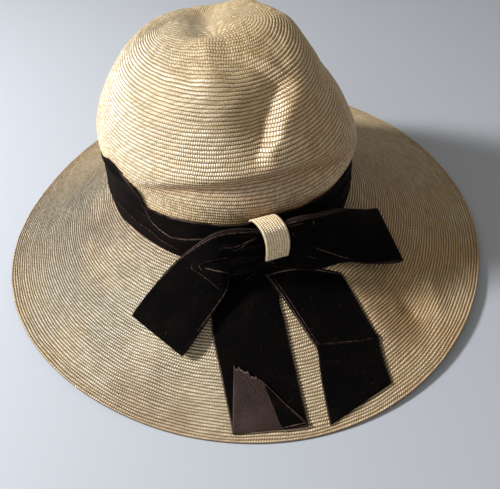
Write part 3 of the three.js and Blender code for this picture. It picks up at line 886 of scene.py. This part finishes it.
leftLoop = {
    "rows": [  # back edge, then front edge, from the knot to the fold
        (10, -90.5, 80.5, 13, -91, 55), (-4, -92, 84.5, -1, -97, 51), (-18, -93, 83, -12.5, -98, 47.5),
        (-33.5, -90, 68.5, -14.8, -104.7, 40), (-47.5, -89, 53, -22.5, -113.4, 32),
        (-63, -97, 38, -33.5, -126.2, 25), (-78, -110, 25, -44, -138, 18.5),
    ],
    "steps": (48, 240), "halfGaps": [0.8, 0.9, 1.2, 1.6, 1.7, 1.7, 1.7], "flat": (0.036, 0.22), "fray": 0.25,
    "front": (0.55, 1.0), "gathers": 3.2, "gatherDepth": 1.3, "gatherFrom": 0.93, "gatherReach": 0.06,
    "folds": [  # the pocket's upper and lower lips and its crease, gathers, then both selvedges
        {"line": [(0.40, 0.762), (0.30, 0.765), (0.29, 0.775), (0.32, 0.792), (0.43, 0.828), (0.57, 0.87)],
         "wornAndLit": 0.9, "step": 1.4},
        {"line": [(0.933, 0.857), (0.60, 0.805), (0.40, 0.775)], "wornAndLit": 0.8, "step": 1.2},
        {"line": [(0.883, 0.768), (0.633, 0.762), (0.417, 0.75), (0.25, 0.742), (0.217, 0.752)],
         "wornAndLit": 0.35, "step": 0.5},
        {"line": [(0.30, 0.863), (0.333, 0.893), (0.30, 0.92), (0.25, 0.955), (0.183, 0.98)],
         "wornAndLit": 1.0, "step": 1.0},
        {"line": [(0.25, 0.97), (0.30, 0.938), (0.417, 0.903), (0.417, 0.887)], "wornAndLit": 0.6},
        {"line": [(0.02, 1.0), (0.02, 0.85), (0.02, 0.75), (0.02, 0.66)], "wornAndLit": 0.5},
        {"line": [(0.975, 0.86), (0.975, 0.78), (0.975, 0.70), (0.975, 0.64)], "wornAndLit": 0.5},
    ],
}
rightLoop = {
    "rows": [
        (16, -88, 80, 17, -89.5, 46), (28.5, -86, 85.5, 28, -92, 44.5), (44.5, -81.5, 84, 44, -93.5, 45),
        (62.5, -67.5, 74, 63, -86, 41.5), (82, -49.5, 53.5, 86, -82.5, 33.5), (97.5, -34, 37, 109, -75.5, 26),
    ],
    "steps": (44, 220), "halfGaps": [0.8, 0.9, 1.3, 1.7, 1.7, 1.7], "flat": (0.04, 0.21), "fray": 0.25,
    "front": (0.0, 0.45), "gathers": 2.6, "gatherDepth": 1.0, "gatherFrom": 0.08, "gatherReach": 0.05,
    "folds": [  # two creases by the knot, gathers, then the upper selvedge; the lines are partly rubbed pile, partly painted highlight
        {"line": [(0.70, 0.125), (0.733, 0.147), (0.80, 0.172)], "wornAndLit": 0.35, "step": 0.5},
        {"line": [(0.55, 0.155), (0.667, 0.19), (0.867, 0.24), (0.95, 0.275)], "wornAndLit": 0.7, "step": 0.8},
        {"line": [(0.02, 0.05), (0.02, 0.083), (0.03, 0.117)], "wornAndLit": 0.8},
        {"line": [(0.07, 0.05), (0.08, 0.085), (0.08, 0.115)], "wornAndLit": 0.5},
        {"line": [(0.25, 0.083), (0.29, 0.088), (0.333, 0.092)], "wornAndLit": 0.6},
        {"line": [(0.067, 0.147), (0.11, 0.149), (0.15, 0.15)], "wornAndLit": 0.6},
        {"line": [(0.015, 0.11), (0.015, 0.18), (0.015, 0.26)], "wornAndLit": 0.45},
    ],
}


def loopPlace(loop):
    rows = loop["rows"]
    backs = [Vector(row[:3]) for row in rows]
    fronts = [Vector(row[3:]) for row in rows]
    middles = [a.lerp(b, 0.5) for a, b in zip(backs, fronts)]
    last = len(rows) - 1
    lifts = []
    for i in range(len(rows)):
        ahead = middles[min(last, i + 1)] - middles[max(0, i - 1)]
        lifts.append((fronts[i] - backs[i]).cross(ahead).normalized() * -loop["halfGaps"][i])
    outward = (middles[last] - middles[last - 1]).normalized() * loop["halfGaps"][last]

    def path(edge):
        out = [point - lift for point, lift in zip(edge, lifts)]
        home = [point + lift for point, lift in zip(edge, lifts)]
        return out + [edge[last] + outward] + home[::-1]
    back = path(backs)
    front = path(fronts)

    def smooth(across, along):
        return smoothAt(back, along).lerp(smoothAt(front, along), across)

    def place(across, along):
        point = smooth(across, along)
        if not loop["front"][0] <= along <= loop["front"][1]:
            return point
        wave = math.sin(math.tau * loop["gathers"] * across + 0.8)
        near = math.exp(-((along - loop["gatherFrom"]) / loop["gatherReach"]) ** 2)  # gathered by the knot
        rise = loop["gatherDepth"] * wave * near + foldRise(loop, across, along)
        sideways = smooth(across + 0.02, along) - smooth(across - 0.02, along)
        onward = smooth(across, min(1, along + 0.004)) - smooth(across, max(0, along - 0.004))
        return point + sideways.cross(onward).normalized() * rise
    return place


bm = bmesh.new()
ribbon(bm, *leftLoop["steps"], loopPlace(leftLoop), foldWearAndHighlight(leftLoop))
loopLeftPiece = ribbonPiece("loopLeft", bm, "bow_loop_left")

bm = bmesh.new()
ribbon(bm, *rightLoop["steps"], loopPlace(rightLoop), foldWearAndHighlight(rightLoop))
loopRightPiece = ribbonPiece("loopRight", bm, "bow_loop_right")
print("loops made")


# Straw keeper over the knot

keeper = {
    "angle": math.radians(-73.5), "width": 15.2, "thickness": 1.5, "standOff": 1.8,
    "rows": [  # out from the band, height, how far aside
        (-1.3, 83.8, -5.8), (1.4, 86.2, -4.5), (5.6, 86.2, -2.7), (9.2, 84, -1.2), (11.4, 79.6, -0.1),
        (12.5, 73.6, 0.6), (12.8, 66.7, 0.7), (12.3, 59, 0.3),
    ],
    "plaits": 9, "plaitSteps": 4, "lengthSteps": 60, "strands": 30, "ridge": 0.8,
}
plaitLook = {
    **strawLook, "pale": (1.0, 0.9, 0.66), "tan": (0.74, 0.56, 0.32), "grooveFrom": 0.1,
    "spread": 0.45, "beading": 0.45, "slant": 0.9, "relief": 0.8, "stainsAndPaintedLight": [],
}


def keeperPlace(across, along):
    outward = Vector((math.cos(keeper["angle"]), math.sin(keeper["angle"]), 0))
    sideways = Vector((-outward.y, outward.x, 0))
    face = (brim["headRadius"] + ribbonThickness + keeper["standOff"]) * ovalFactor(keeper["angle"])
    path = [Vector((out, height, 0)) for out, height, aside in keeper["rows"]]
    at = smoothAt(path, along)
    ahead = (smoothAt(path, along + 0.01) - smoothAt(path, along - 0.01)).normalized()
    lift = ridgeLift(keeper["ridge"], keeper["plaits"] * across)
    out = face + at.x + ahead.y * -lift
    height = at.y + ahead.x * lift
    aside = (across - 0.5) * keeper["width"] + columnAt(keeper["rows"], 2, along)
    centre = Vector((brim["centre"].x, brim["centre"].y, height))
    return centre + outward * out + sideways * aside


bm = bmesh.new()
ribbon(bm, keeper["plaits"] * keeper["plaitSteps"], keeper["lengthSteps"], keeperPlace)
uv = bm.loops.layers.uv["rows"]
for face in bm.faces:
    for loop in face.loops:
        loop[uv].uv = (loop[uv].uv.y * keeper["strands"], loop[uv].uv.x * keeper["plaits"])
plait = strawFinish("plait", plaitLook)  # clean, as the keeper has no soilAndShade attribute
keeperPiece = addPiece("keeper", bm, [plait], ["bow_keeper"])
thicken(keeperPiece, keeper["thickness"])
print("keeper made")


# Floor, light and camera

stage = {
    "floorColour": (0.47, 0.512, 0.592, 1.0), "floorSize": 3.0,
    "keyFrom": Vector((-0.94, -0.07, 0.74)), "keySize": 0.16, "keyPower": 19.5,
    "keyColour": (1.0, 0.975, 0.93),
    "fillFrom": Vector((-1.0, -0.9, 0.38)), "fillSize": 1.6, "fillPower": 6.0,
    "fillColour": (1.0, 0.98, 0.95),
    "lampAim": Vector((0, 0, 0.05)),
    "worldColour": (1.0, 0.93, 0.82, 1.0), "worldStrength": 0.28,
}

floorMesh = bpy.data.meshes.new("floor")
bm = bmesh.new()
bmesh.ops.create_grid(bm, x_segments=1, y_segments=1, size=stage["floorSize"])
bm.to_mesh(floorMesh)
bm.free()
floor = bpy.data.objects.new("floor", floorMesh)
bpy.context.scene.collection.objects.link(floor)
cloth = Finish("floorCloth", Roughness=0.9)
cloth.feed("Base Color", stage["floorColour"])
floorMesh.materials.append(cloth.material)

for lamp in ("key", "fill"):
    lampData = bpy.data.lights.new(lamp, "AREA")
    lampData.energy = stage[lamp + "Power"]
    lampData.size = stage[lamp + "Size"]
    lampData.color = stage[lamp + "Colour"]
    softBox = bpy.data.objects.new(lamp, lampData)
    softBox.location = stage[lamp + "From"]
    aim = stage["lampAim"] - stage[lamp + "From"]
    softBox.rotation_euler = aim.to_track_quat("-Z", "Y").to_euler()
    bpy.context.scene.collection.objects.link(softBox)

world = bpy.data.worlds.new("soft")
world.use_nodes = True
sky = world.node_tree.nodes["Background"]
sky.inputs["Color"].default_value = stage["worldColour"]
sky.inputs["Strength"].default_value = stage["worldStrength"]
bpy.context.scene.world = world

view = {
    "place": Vector((1.6, -298.0, 307.2)), "down": math.radians(49.0), "roll": math.radians(-2.4),
    "lens": 36.0, "sensor": 36.0, "clipStart": 0.01,
}
right = Vector((1, 0, 0))
up = Vector((0, math.sin(view["down"]), math.cos(view["down"])))
back = Vector((0, -math.cos(view["down"]), math.sin(view["down"])))
cameraX = right * math.cos(view["roll"]) + up * math.sin(view["roll"])
cameraY = up * math.cos(view["roll"]) - right * math.sin(view["roll"])
cameraData = bpy.data.cameras.new("camera")
cameraData.sensor_fit = "HORIZONTAL"
cameraData.sensor_width = view["sensor"]
cameraData.lens = view["lens"]
cameraData.clip_start = view["clipStart"]
camera = bpy.data.objects.new("camera", cameraData)
turn = Matrix((cameraX, cameraY, back)).transposed()
camera.matrix_world = Matrix.Translation(view["place"] * mm) @ turn.to_4x4()
bpy.context.scene.collection.objects.link(camera)
bpy.context.scene.camera = camera
bpy.context.scene.view_settings.view_transform = "Standard"
print("stage made")
